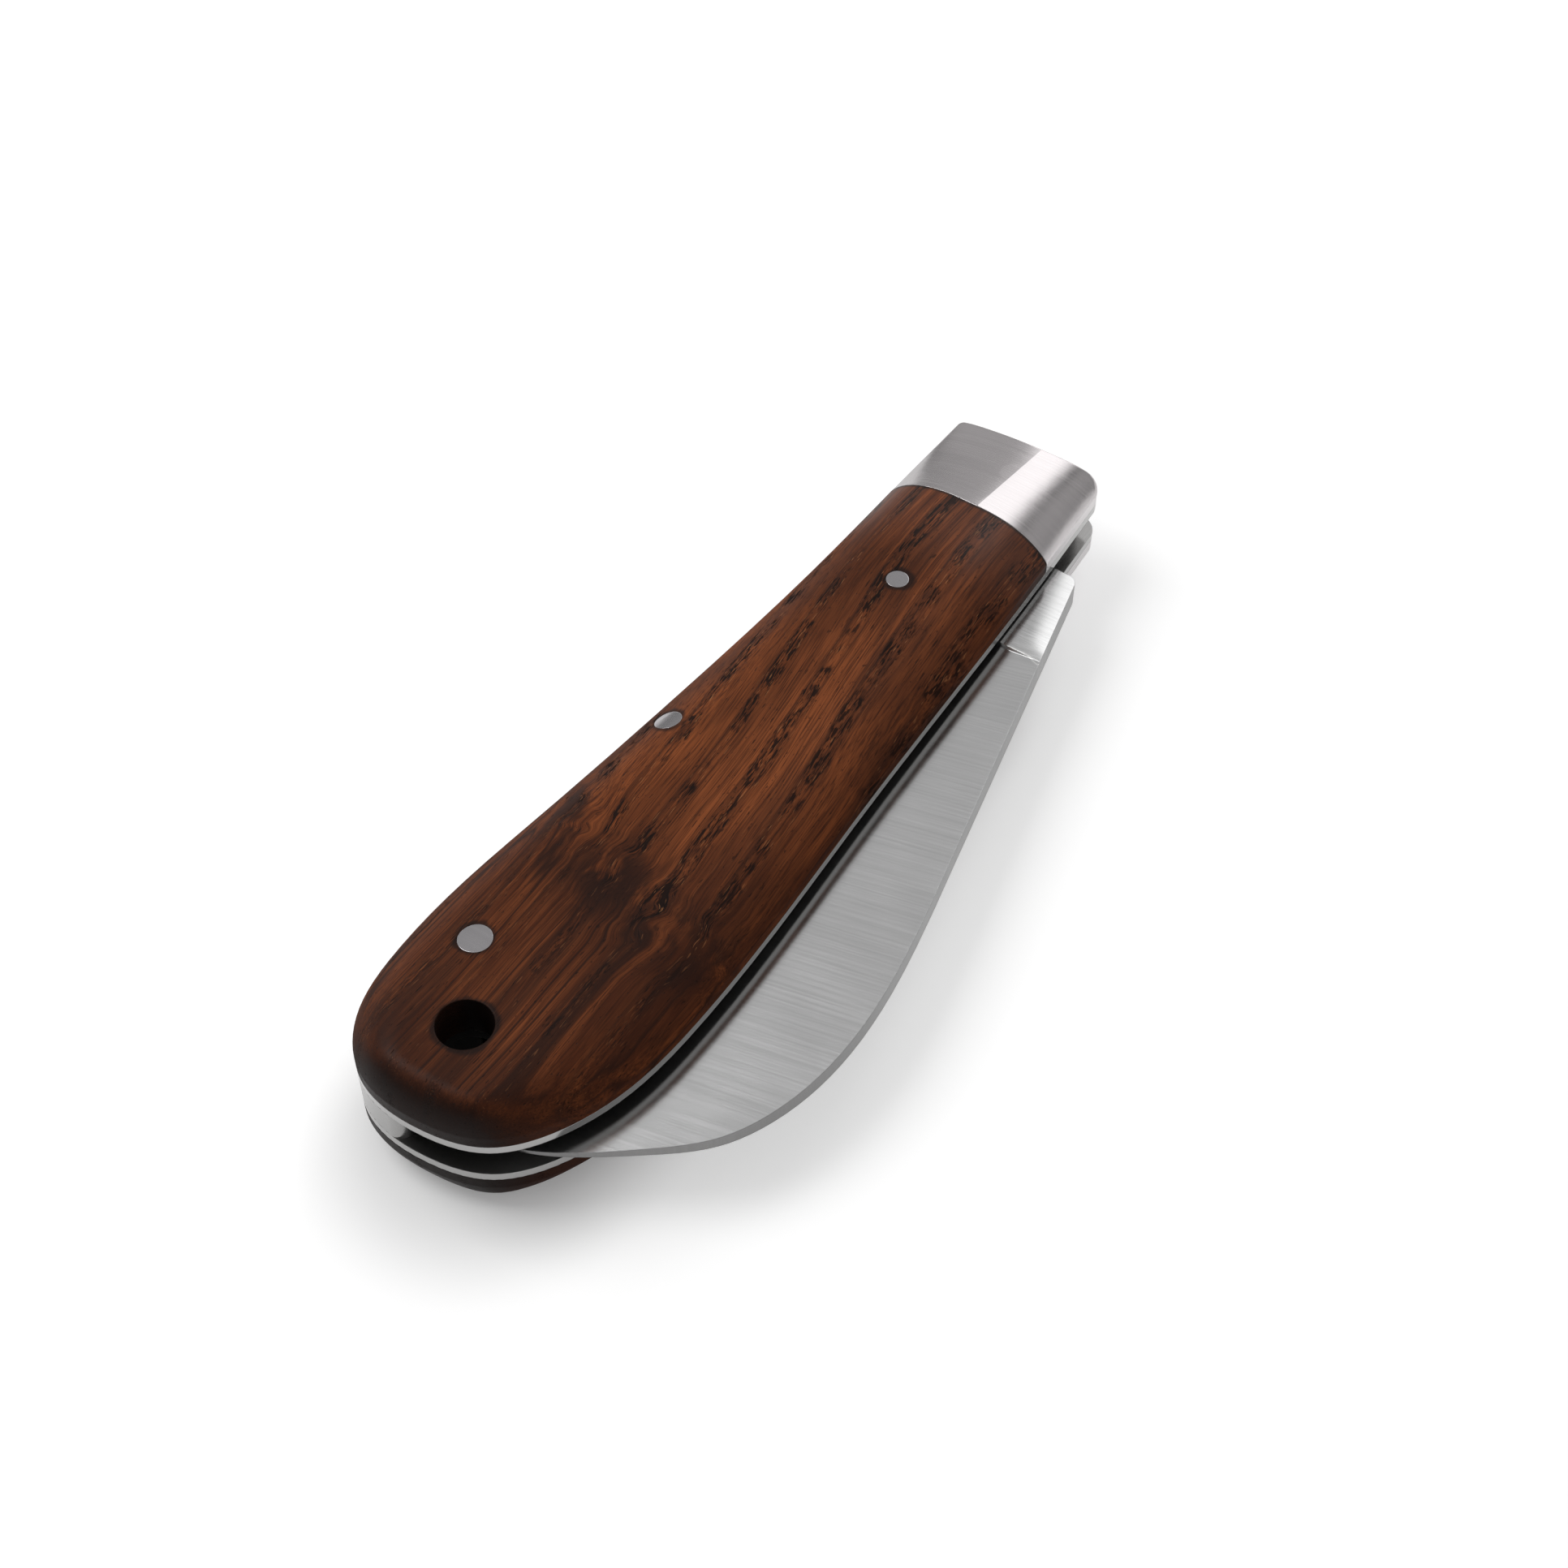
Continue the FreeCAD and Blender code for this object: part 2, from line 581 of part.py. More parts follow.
PIECES = (
    blade, backspring, liner_top, liner_bottom, bolster_top, bolster_bottom, scale_top, scale_bottom,
    pivot_pin, centre_pin, butt_pin, front_rivet_top, front_rivet_bottom, washer_top, washer_bottom,
)
doc.recompute()
failed = [item.Label for item in doc.Objects if {"Invalid", "Error"} & set(item.State)]
if failed:
    raise RuntimeError(f"not built: {failed}")
for piece in PIECES:
    if piece.Shape.isNull() or not piece.Shape.isValid() or len(piece.Shape.Solids) != 1:
        raise RuntimeError(f"not one valid solid: {piece.Label}")

os.makedirs("parts", exist_ok=True)
for piece in PIECES:
    piece.Shape.exportStep(f"parts/{piece.Label}.step")
    print(f"{piece.Label}: {piece.Shape.Volume:.1f} cubic mm")
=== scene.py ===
"""Looks of the folding pocket knife: finishes of its steel and wood, a pale floor, soft light and a camera.

Places are in metres in the part's frame: X from the bolster end to the butt, Y towards the blade, Z up.
Finishes are drawn in millimetres of that frame, so that grain and brush lines have their real scale.
"""
import math

import bpy
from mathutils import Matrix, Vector

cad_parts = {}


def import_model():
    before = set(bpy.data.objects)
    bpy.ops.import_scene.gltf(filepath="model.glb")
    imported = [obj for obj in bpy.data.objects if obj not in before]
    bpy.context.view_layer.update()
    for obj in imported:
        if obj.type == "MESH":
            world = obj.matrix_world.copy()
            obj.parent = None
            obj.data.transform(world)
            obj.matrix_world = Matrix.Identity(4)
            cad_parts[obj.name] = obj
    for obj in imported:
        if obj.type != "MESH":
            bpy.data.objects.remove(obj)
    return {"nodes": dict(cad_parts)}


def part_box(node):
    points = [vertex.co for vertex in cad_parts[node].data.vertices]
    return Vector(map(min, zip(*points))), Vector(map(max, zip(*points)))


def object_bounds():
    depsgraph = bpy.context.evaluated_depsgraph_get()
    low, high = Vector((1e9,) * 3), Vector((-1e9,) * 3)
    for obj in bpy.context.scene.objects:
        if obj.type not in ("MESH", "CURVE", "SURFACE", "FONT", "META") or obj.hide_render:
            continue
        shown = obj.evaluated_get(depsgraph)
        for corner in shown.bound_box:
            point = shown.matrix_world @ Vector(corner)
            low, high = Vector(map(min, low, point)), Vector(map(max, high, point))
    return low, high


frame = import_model()
cad_low, cad_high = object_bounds()

MM = 0.001
PER_METRE = 1000.0

# Camera, measured on the photograph, which is taken to be a square of PHOTO_WIDTH pixels
PHOTO_WIDTH = 1932
FOCAL_PIXELS = 3200
SENSOR_WIDTH = 36.0
CLIP_START = 0.01
CAMERA_PLACE = Vector((143.05, 102.33, 216.465)) * MM
CAMERA_TARGET = Vector((-0.74, 2.61, 7.925)) * MM

# Main places on the handle, in millimetres: its height, the joint of wood and bolster, and the lanyard hole
HANDLE_HEIGHT = (cad_high.z - cad_low.z) / MM
JOINT_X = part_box("scale_top")[0].x / MM
BOLSTER_LENGTH = JOINT_X - cad_low.x / MM
HOLE_CENTRE = (45.9, -1.4, 0.0)
HOLE_RADIUS = 2.85

# Linear colours of the wood
WOOD_DARK = (0.043, 0.0112, 0.0042, 1)
WOOD_MID = (0.115, 0.0295, 0.0095, 1)
WOOD_LIGHT = (0.285, 0.078, 0.0225, 1)
WOOD_SHADE = (0.022, 0.0075, 0.0045, 1)
WOOD_PORE = (0.007, 0.0045, 0.004, 1)
WOOD_FLECK = (0.36, 0.15, 0.06, 1)

# Rows of pores in the wood, in millimetres: they climb across the handle and level out near the butt
ROW_SPACING = 4.8
ROW_OFFSET = 3.4
ROW_CLIMB = 6.4
ROW_CLIMB_START = -38.0
ROW_CLIMB_END = 32.0
ROW_TILT = 0.35
ROW_WANDER = 0.6
ROW_SWIRL = 0.9
ROW_HALF_WIDTH = 1.25
ROW_EDGE = -0.65
ROW_EDGE_HALF_WIDTH = 0.35

# A dark figure crosses the grain along a bow and is strongest at its heart, in millimetres
FIGURE_BOW_X = 26.3
FIGURE_BOW_Y = 8.0
FIGURE_BOW = 0.027
FIGURE_HALF_WIDTH = 8.0
FIGURE_BORDER = 3.0
FIGURE_HEART = (24.5, -0.5, HANDLE_HEIGHT)
HEART_RADIUS = 9.0
HEART_CORE = 1.0

# Warmer, darker and polished parts of the wood, and painted shade on the lower scale, in millimetres
WARM_HEART = (-7.0, -4.0, HANDLE_HEIGHT)
WARM_RADIUS = 34.0
WARM_CORE = 8.0
BUTT_DARK_START = 42.0
BUTT_DARK_END = 53.0
LOWER_SHADE_TOP = 6.0
LOWER_SHADE_FADE = 1.0
POLISH_LENGTH = 13.0
POLISH_CORE = 2.0

# Dirt in the seam at the bolster and around the pins and the hole, in millimetres
SEAM_REACH = 0.5
SEAM_CORE = 0.1
RING_REACH = 0.7
RING_CORE = 0.1
RING_FRAY = 0.3

# Relief of the wood: depth of a pore and rounding of the edges, in millimetres, and shares of that depth
PORE_DEPTH = 0.05
WOOD_EDGE = 0.3
RELIEF_SHARE = 0.6
RIDGE_SHARE = 0.12

# Most of a noise lies between these two values
NOISE_LOW = 0.3
NOISE_HIGH = 0.7

# Noises of the wood over the handle: features per millimetre along X and across it, detail and roughness
PLACE_NOISE = {
    "swirl": (0.16, 0.16, 2.0, 0.5),
    "wander": (0.03, 0.08, 1.0, 0.5),
    "cloud": (0.03, 0.12, 3.0, 0.5),
    "mottle": (0.22, 0.42, 3.0, 0.55),
    "specks": (1.6, 4.0, 1.0, 0.5),
}

# Noises that follow the grain of the wood, given in the same way
GRAIN_NOISE = {
    "fibre": (0.035, 1.2, 4.0, 0.6),
    "fine_fibre": (0.12, 6.0, 2.0, 0.5),
    "lines": (0.012, 0.26, 1.0, 0.5),
    "dashes": (0.5, 3.7, 1.5, 0.5),
    "fine_dashes": (1.0, 8.0, 1.0, 0.5),
    "threads": (0.22, 11.0, 2.0, 0.5),
    "clusters": (0.2, 0.22, 2.0, 0.5),
    "flecks": (0.55, 7.0, 1.0, 0.5),
}

# Noises of the steel, given in the same way: brush lines by the axis that they run along, smears and streaks
BRUSH_NOISE = {"X": (0.06, 6.0, 3.0, 0.7), "Y": (6.0, 0.06, 3.0, 0.7)}
SMEAR_NOISE = (0.12, 0.12, 3.0, 0.5)
STREAK_NOISE = (6.0, 0.08, 2.0, 0.5)

# Direction across the brush lines, by the axis that they run along, and the lean of those on the blade
ACROSS_LINES = {"X": (0.0, 1.0, 0.0), "Y": (1.0, 0.0, 0.0)}
BLADE_SLANT = 0.21

# How much brush lines and smears change the roughness of steel
LINE_ROUGHNESS = 0.02
SMEAR_ROUGHNESS = 0.015

# Rays that look for an edge to round off
EDGE_SAMPLES = 6

# Around a pin that is ground flush, the rounding of edges starts and is full at these millimetres from it
FLUSH_START = 0.5
FLUSH_END = 1.0

# Colour of painted shade on the tang, in the slot and in the lanyard hole, with its borders in millimetres
PAINTED_SHADE_COLOUR = (0.03, 0.027, 0.025, 1)
TANG_SHADE_START = 0.1
TANG_SHADE_FULL = 0.5
SLOT_SHADE_FADE = 1.0
HOLE_SHADE_REACH = 0.4
HOLE_SHADE_CORE = 0.2

# The flat beside the tang, the ricasso, is rounded towards the spine by hand, in millimetres
RICASSO_START = (-42.6, 13.25)
RICASSO_RISE = 0.2344
RICASSO_END_X = -29.8
RICASSO_FADE = 3.0
RICASSO_ROUND = 2.6
RICASSO_DROP = 0.1
# Painted shade in streaks on the ricasso grows between the first two distances from the spine and fades over
# a border at the ricasso's end, in millimetres
STREAK_START = 1.0
STREAK_FULL = 4.5
STREAK_BORDER = 0.3

# The ground face of the blade ends in a painted highlight, a bright line which bends towards the tip at the
# spine, in millimetres
PAINTED_GLINT_COLOUR = (0.97, 0.97, 0.95, 1)
PLUNGE_HALF_WIDTH = 0.22
PLUNGE_CURVE = 0.5
PLUNGE_CURVE_START = 1.6
PLUNGE_CURVE_END = 0.2

# The arch of the bolster has a flat with a clear border, and twists towards the end of the handle
FLAT_BORDER_Y = 1.06
FLAT_SLOPE = 0.07
TWIST_SLOPE = 0.04
TWIST_GROWTH = 0.025

# Half width of the floor in metres; in millimetres, it glows least in a rounded strip under the handle, a
# painted shadow, and fades into the dim studio far from the knife, a painted falloff of light
FLOOR_SIZE = 6.0
FOOT_MIDDLE_X = 13.0
FOOT_HALF_LENGTH = 35.0
FOOT_HALF_WIDTH = 9.0
FOOT_FADE = 11.0
GLOW_UNDER = 0.2
GLOW_OPEN = 0.43
FLOOR_FADE_START = 230.0
FLOOR_FADE_END = 900.0
FLOOR_NEAR = (0.84, 0.84, 0.84, 1)
FLOOR_FAR = (0.72, 0.72, 0.72, 1)

# Light of the studio at the horizon and overhead, which is full at a rise, and its share on the front side,
# which starts and is full at these parts of a direction
HORIZON_LIGHT = 0.36
OVERHEAD_LIGHT = 0.6
OVERHEAD_RISE = 0.4
FRONT_SIDE = (0.82, 0.57)
FRONT_SHARE = 0.55
FRONT_START = -0.1
FRONT_FULL = 0.8


class Nodes:
    """Short calls for the nodes of one material or of the world."""

    def __init__(self, tree):
        self.tree = tree
        tree.nodes.clear()

    def add(self, kind, inputs=None, **settings):
        """A new node with its settings, and its inputs linked or set."""
        node = self.tree.nodes.new(kind)
        for key, value in settings.items():
            setattr(node, key, value)
        for socket, value in (inputs or {}).items():
            self.feed(node.inputs[socket], value)
        return node

    def feed(self, target, value):
        """Link an input to the output of another node, or give it a plain value."""
        if isinstance(value, bpy.types.NodeSocket):
            self.tree.links.new(value, target)
        else:
            target.default_value = value

    def math(self, operation, first, second=0.0):
        """One step of arithmetic on outputs and numbers."""
        return self.add("ShaderNodeMath", {0: first, 1: second}, operation=operation).outputs[0]

    def chain(self, operation, values):
        """One operation over any number of outputs and numbers."""
        result = values[0]
        for value in values[1:]:
            result = self.math(operation, result, value)
        return result

    def total(self, *values):
        return self.chain("ADD", values)

    def product(self, *values):
        return self.chain("MULTIPLY", values)

    def largest(self, *values):
        return self.chain("MAXIMUM", values)

    def absolute(self, value):
        return self.math("ABSOLUTE", value)

    def vector(self, operation, first, second):
        """One step of arithmetic on vectors."""
        return self.add("ShaderNodeVectorMath", {0: first, 1: second}, operation=operation).outputs[0]

    def split(self, vector):
        return self.add("ShaderNodeSeparateXYZ", {0: vector}).outputs

    def combine(self, x, y, z):
        return self.add("ShaderNodeCombineXYZ", {0: x, 1: y, 2: z}).outputs[0]

    def place(self):
        """Place on the object in millimetres, as a vector."""
        coordinates = self.add("ShaderNodeTexCoord").outputs["Object"]
        return self.vector("MULTIPLY", coordinates, (PER_METRE, PER_METRE, PER_METRE))

    def axes(self):
        """Place on the object in millimetres, along its three axes."""
        return self.split(self.place())

    def facing(self):
        """Parts of the object's own normal along its three axes."""
        return self.split(self.add("ShaderNodeTexCoord").outputs["Normal"])

    def direction(self, axis):
        """An axis of the object as a direction in the scene."""
        node = self.add(
            "ShaderNodeVectorTransform", {"Vector": axis},
            vector_type="VECTOR", convert_from="OBJECT", convert_to="WORLD",
        )
        return node.outputs[0]

    def distance(self, place, centre):
        """Distance from a point, in millimetres."""
        node = self.add("ShaderNodeVectorMath", {0: place, 1: centre}, operation="DISTANCE")
        return node.outputs["Value"]

    def from_axis(self, place, centre):
        """Distance from an upright axis, in millimetres."""
        return self.distance(self.vector("MULTIPLY", place, (1.0, 1.0, 0.0)), centre)

    def ramp(self, value, start, end, low=0.0, high=1.0):
        """Smooth change from low to high as the value goes from start to end."""
        inputs = {"Value": value, "From Min": start, "From Max": end, "To Min": low, "To Max": high}
        return self.add("ShaderNodeMapRange", inputs, interpolation_type="SMOOTHSTEP").outputs["Result"]

    def band(self, value, centre, reach):
        """1 where the value is at the centre, falling to 0 at a reach from it."""
        return self.ramp(self.absolute(self.total(value, -centre)), reach, 0.0)

    def noise(self, place, form):
        """Noise from 0 to 1, by features per millimetre along X and across it, detail and roughness."""
        along, across, detail, roughness = form
        stretched = self.vector("MULTIPLY", place, (along, across, across))
        inputs = {"Vector": stretched, "Scale": 1.0, "Detail": detail, "Roughness": roughness}
        return self.add("ShaderNodeTexNoise", inputs).outputs["Fac"]

    def noises(self, place, forms):
        """Noises by name, from a table of their forms."""
        return {name: self.noise(place, form) for name, form in forms.items()}

    def mix(self, share, first, second):
        """Blend of two colours."""
        return self.add("ShaderNodeMix", {0: share, 6: first, 7: second}, data_type="RGBA").outputs[2]

    def layered(self, colour, layers):
        """A colour under layers, each given by its share and its tint."""
        for share, tint in layers:
            colour = self.mix(share, colour, tint)
        return colour

    def bump(self, height, depth, strength, normal):
        """Normal of a surface whose height of 0 to 1 stands for a depth in millimetres."""
        inputs = {"Height": height, "Distance": depth * MM, "Strength": strength, "Normal": normal}
        return self.add("ShaderNodeBump", inputs).outputs["Normal"]

    def soft_edges(self, radius):
        """Normal that rounds off sharp edges by a radius in metres."""
        return self.add("ShaderNodeBevel", {"Radius": radius}, samples=EDGE_SAMPLES).outputs["Normal"]

    def output(self, surface):
        self.add("ShaderNodeOutputMaterial", {"Surface": surface})

    def finish(self, inputs):
        """The surface shader, with its inputs linked or set."""
        self.output(self.add("ShaderNodeBsdfPrincipled", inputs).outputs["BSDF"])


def new_material(name):
    """An empty material and the calls that fill it."""
    material = bpy.data.materials.new(name)
    material.use_nodes = True
    return material, Nodes(material.node_tree)


def dress(material, *names):
    """Give CAD nodes a material."""
    for name in names:
        for slot in frame["nodes"][name].material_slots:
            slot.material = material


def pin_circle(node):
    """Centre and radius of a pin seen along its axis, in millimetres."""
    low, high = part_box(node)
    centre = (low + high) / 2 / MM
    return (centre.x, centre.y, 0.0), (high.x - low.x) / 2 / MM


class Wood:
    """Dark smoked ring-porous wood: rows of short black pores, fine fibres and a dark figure at the butt."""

    def __init__(self, nodes):
        self.nodes = nodes
        self.place = nodes.place()
        self.x, self.y, self.z = nodes.split(self.place)
        facing = nodes.facing()
        self.towards_end = nodes.absolute(facing[0])
        self.towards_blade = facing[1]
        self.noise = nodes.noises(self.place, PLACE_NOISE)
        self.crossing, self.heart, self.past_figure = self.figure()
        self.across = self.across_rows()
        self.grain = nodes.noises(nodes.combine(self.x, self.across, self.z), GRAIN_NOISE)
        self.row, self.row_edge = self.rows()
        self.cluster = self.pore_clusters()
        self.pores = self.open_pores()

    def figure(self):
        """Shares of the dark figure's bow across the grain, of its heart, and of the wood past it."""
        nodes = self.nodes
        from_top = nodes.total(self.y, -FIGURE_BOW_Y)
        bow = nodes.total(self.x, nodes.product(from_top, from_top, FIGURE_BOW))
        crossing = nodes.band(bow, FIGURE_BOW_X, FIGURE_HALF_WIDTH)
        heart = nodes.ramp(nodes.distance(self.place, FIGURE_HEART), HEART_RADIUS, HEART_CORE)
        past = nodes.ramp(bow, FIGURE_BOW_X - FIGURE_BORDER, FIGURE_BOW_X + FIGURE_BORDER)
        return crossing, heart, past

    def across_rows(self):
        """Distance across the rows of pores in millimetres; they swirl where the figure crosses them."""
        nodes = self.nodes
        swirl = nodes.ramp(self.noise["swirl"], NOISE_LOW, NOISE_HIGH, -ROW_SWIRL, ROW_SWIRL)
        wander = nodes.ramp(self.noise["wander"], 0.2, 0.8, -ROW_WANDER, ROW_WANDER)
        climb = nodes.ramp(self.x, ROW_CLIMB_START, ROW_CLIMB_END, high=-ROW_CLIMB)
        depth = nodes.product(nodes.total(self.z, -HANDLE_HEIGHT), ROW_TILT)
        return nodes.total(self.y, climb, wander, nodes.product(self.crossing, swirl), depth, -ROW_OFFSET)

    def rows(self):
        """Shares of the nearest row of pores, and of the dark line along its edge."""
        nodes = self.nodes
        turn = nodes.math("FRACT", nodes.total(nodes.product(self.across, 1 / ROW_SPACING), 0.5))
        from_row = nodes.product(nodes.total(turn, -0.5), ROW_SPACING)
        return nodes.band(from_row, 0.0, ROW_HALF_WIDTH), nodes.band(from_row, ROW_EDGE, ROW_EDGE_HALF_WIDTH)

    def pore_clusters(self):
        """Share of the places in a row where pores crowd, which are fewer past the figure."""
        nodes = self.nodes
        crowd = nodes.ramp(self.grain["clusters"], 0.4, 0.6, 0.15, 1.0)
        return nodes.product(self.row, crowd, nodes.ramp(self.past_figure, 0.0, 1.0, 1.0, 0.35))

    def open_pores(self):
        """Share of open pores: long and fine ones in the rows, and single ones and specks between them."""
        nodes = self.nodes
        dashes = self.grain["dashes"]
        in_rows = nodes.product(nodes.ramp(dashes, 0.53, 0.58), nodes.ramp(self.cluster, 0.1, 0.5))
        crowded = nodes.ramp(self.cluster, 0.05, 0.3, high=0.8)
        fine = nodes.product(nodes.ramp(self.grain["fine_dashes"], 0.57, 0.63), crowded)
        single = nodes.ramp(dashes, 0.68, 0.74, high=0.7)
        specks = nodes.ramp(self.noise["specks"], 0.69, 0.75, high=0.6)
        return nodes.largest(in_rows, fine, single, specks)

    def fibre_layers(self):
        """Light and dark fibres, and a warm part at mid length."""
        ramp = self.nodes.ramp
        from_warm = self.nodes.distance(self.place, WARM_HEART)
        return [
            (ramp(self.grain["fibre"], 0.34, 0.66), WOOD_LIGHT),
            (ramp(from_warm, WARM_RADIUS, WARM_CORE, high=0.8), WOOD_LIGHT),
            (ramp(self.grain["fine_fibre"], 0.4, 0.75, high=0.75), WOOD_DARK),
            (ramp(self.grain["threads"], 0.5, 0.68, high=0.8), WOOD_DARK),
        ]

    def shade_layers(self):
        """Dark clouds, the darker wood past the figure and at the butt, and painted shade on the lower scale.
        """
        ramp = self.nodes.ramp
        return [
            (ramp(self.noise["cloud"], 0.4, 0.66, high=0.65), WOOD_DARK),
            (self.nodes.product(self.past_figure, 0.35), WOOD_DARK),
            (ramp(self.x, BUTT_DARK_START, BUTT_DARK_END, high=0.7), WOOD_DARK),
            # Painted shade on the lower scale
            (ramp(self.z, LOWER_SHADE_TOP, LOWER_SHADE_TOP - LOWER_SHADE_FADE, high=0.75), WOOD_SHADE),
        ]

    def line_layers(self):
        """Growth lines, strongest past the figure and none on end grain, the figure, and the rows' edges."""
        nodes = self.nodes
        mottle = self.noise["mottle"]
        past = nodes.ramp(self.past_figure, 0.0, 1.0, 0.3, 0.85)
        share = nodes.product(past, nodes.ramp(self.towards_end, 0.45, 0.15))
        thin = nodes.band(self.grain["lines"], 0.5, 0.025)
        wide = nodes.band(self.grain["lines"], 0.62, 0.06)
        bow = nodes.product(self.crossing, nodes.ramp(mottle, 0.42, 0.6, high=0.75))
        heart = nodes.product(self.heart, nodes.ramp(mottle, 0.3, 0.5, high=0.95))
        return [
            (nodes.product(thin, share), WOOD_SHADE),
            (nodes.product(wide, share, 0.7), WOOD_SHADE),
            (nodes.largest(bow, heart), WOOD_SHADE),
            (nodes.product(self.row_edge, 0.45), WOOD_SHADE),
        ]

    def pore_layers(self):
        """The shade around crowded pores, the pores, and pale flecks along the rows."""
        nodes = self.nodes
        around = nodes.product(self.cluster, nodes.ramp(self.noise["mottle"], 0.35, 0.6, high=0.6))
        fleck = nodes.product(
            nodes.ramp(self.grain["flecks"], 0.66, 0.72),
            nodes.ramp(self.row, 0.0, 0.6, 0.15, 1.0),
            nodes.ramp(self.past_figure, 0.0, 1.0, 0.6, 0.25),
        )
        return [
            (around, WOOD_SHADE),
            (nodes.product(self.pores, 0.9), WOOD_PORE),
            (fleck, WOOD_FLECK),
        ]

    def border_layers(self):
        """Painted shade on the side towards the blade, darker end grain with painted shade on it as well, and
        dirt in the seam and around the pins and the hole.
        """
        nodes = self.nodes
        layers = [
            # Painted shade on the side towards the blade
            (nodes.ramp(self.towards_blade, 0.1, 0.5, high=0.2), WOOD_DARK),
            # End grain is darker, and painted shade on the faces towards the ends darkens it further
            (nodes.ramp(self.towards_end, 0.35, 0.9, high=0.9), WOOD_PORE),
            (nodes.ramp(self.x, JOINT_X + SEAM_REACH, JOINT_X + SEAM_CORE, high=0.8), WOOD_PORE),
        ]
        fray = nodes.ramp(self.noise["mottle"], NOISE_LOW, NOISE_HIGH, -RING_FRAY, RING_FRAY)
        circles = [pin_circle(pin) for pin in ("butt_pin", "centre_pin", "front_rivet_top")]
        for centre, radius in circles + [(HOLE_CENTRE, HOLE_RADIUS)]:
            frayed = nodes.total(nodes.from_axis(self.place, centre), fray)
            layers.append((nodes.ramp(frayed, radius + RING_REACH, radius + RING_CORE, high=0.75), WOOD_PORE))
        return layers

    def colour(self):
        layers = self.fibre_layers() + self.shade_layers() + self.line_layers()
        return self.nodes.layered(WOOD_MID, layers + self.pore_layers() + self.border_layers())

    def roughness(self):
        """Oiled wood, rougher in its pores and on its steep sides."""
        nodes = self.nodes
        return nodes.total(
            nodes.ramp(self.grain["fibre"], 0.2, 0.8, 0.4, 0.48),
            nodes.product(self.pores, 0.3),
            nodes.ramp(nodes.absolute(self.towards_blade), 0.3, 0.8, high=0.3),
        )

    def normal(self):
        """Soft edges with sunken pores and faint ridges of fibres."""
        nodes = self.nodes
        ridges = nodes.product(self.grain["fine_fibre"], RIDGE_SHARE)
        height = nodes.total(nodes.product(self.pores, -1.0), ridges)
        return nodes.bump(height, PORE_DEPTH, RELIEF_SHARE, nodes.soft_edges(WOOD_EDGE * MM))


def smoked_wood():
    """The material of the scales, with a faint polish behind the bolster."""
    material, nodes = new_material("smoked_wood")
    wood = Wood(nodes)
    nodes.finish({
        "Base Color": wood.colour(),
        "Roughness": wood.roughness(),
        "Specular IOR Level": 0.1,
        "Coat Weight": nodes.ramp(wood.x, JOINT_X + POLISH_LENGTH, JOINT_X + POLISH_CORE, high=0.35),
        "Coat Roughness": 0.3,
        "Normal": wood.normal(),
    })
    return material


def brush_lines(nodes, lines_along, slant):
    """Noise of fine ground lines along one axis of the object, which may lean by a share of that axis."""
    x, y, z = nodes.axes()
    leaning = nodes.combine(nodes.total(x, nodes.product(y, slant)), y, z)
    return nodes.noise(leaning, BRUSH_NOISE[lines_along])


def inside_spine(nodes):
    """Distance in millimetres from the straight spine of the ricasso, across the blade."""
    x, y, z = nodes.axes()
    start_x, start_y = RICASSO_START
    spine = nodes.total(nodes.product(nodes.total(x, -start_x), RICASSO_RISE), start_y)
    return nodes.math("SUBTRACT", spine, y)


def ricasso_round(nodes):
    """Height in millimetres of the flat beside the tang, which falls off towards the spine."""
    x = nodes.axes()[0]
    fall = nodes.math("SUBTRACT", 1.0, nodes.product(inside_spine(nodes), 1 / RICASSO_ROUND))
    fall = nodes.largest(fall, 0.0)
    here = nodes.ramp(x, RICASSO_END_X, RICASSO_END_X - RICASSO_FADE)
    return nodes.product(fall, fall, here, -RICASSO_DROP)


def bolster_twist(nodes):
    """Height in millimetres that gives the bolster's arch its flat, turned towards the blade at the end."""
    x, y, z = nodes.axes()
    along = nodes.product(nodes.math("SUBTRACT", JOINT_X, x), 1 / BOLSTER_LENGTH)
    across = nodes.total(y, -FLAT_BORDER_Y)
    front = nodes.largest(across, 0.0)
    twist = nodes.total(nodes.product(across, TWIST_SLOPE), nodes.product(front, front, TWIST_GROWTH))
    drop = nodes.total(nodes.product(along, twist), nodes.product(front, FLAT_SLOPE))
    return nodes.product(drop, -1.0)


def blade_painted_shade(nodes):
    """Share of painted shade on the blade: on its tang in the slot, on its narrow faces, and in faint streaks
    on the ricasso towards the handle.
    """
    x = nodes.axes()[0]
    tang_x = RICASSO_START[0]
    tang = nodes.ramp(x, tang_x - TANG_SHADE_START, tang_x - TANG_SHADE_FULL, high=0.9)
    narrow_face = nodes.ramp(nodes.absolute(nodes.facing()[2]), 0.7, 0.3, high=0.68)
    streaks = nodes.ramp(nodes.noise(nodes.place(), STREAK_NOISE), 0.35, 0.7)
    at_handle = nodes.ramp(inside_spine(nodes), STREAK_START, STREAK_FULL, 0.08, 0.22)
    on_ricasso = nodes.ramp(x, RICASSO_END_X + STREAK_BORDER, RICASSO_END_X - STREAK_BORDER)
    return nodes.largest(tang, narrow_face, nodes.product(streaks, at_handle, on_ricasso))


def bolster_painted_shade(nodes):
    """Share of painted shade along the back of a bolster, on the faces turned away from the blade."""
    return nodes.ramp(nodes.facing()[1], -0.3, -0.8, high=0.45)


def plunge_highlight(nodes):
    """Share of painted highlight on the blade, along the curved end of its ground face."""
    x = nodes.axes()[0]
    curve = nodes.ramp(inside_spine(nodes), PLUNGE_CURVE_START, PLUNGE_CURVE_END, high=-PLUNGE_CURVE)
    return nodes.product(nodes.band(nodes.total(x, curve), RICASSO_END_X, PLUNGE_HALF_WIDTH), 0.65)


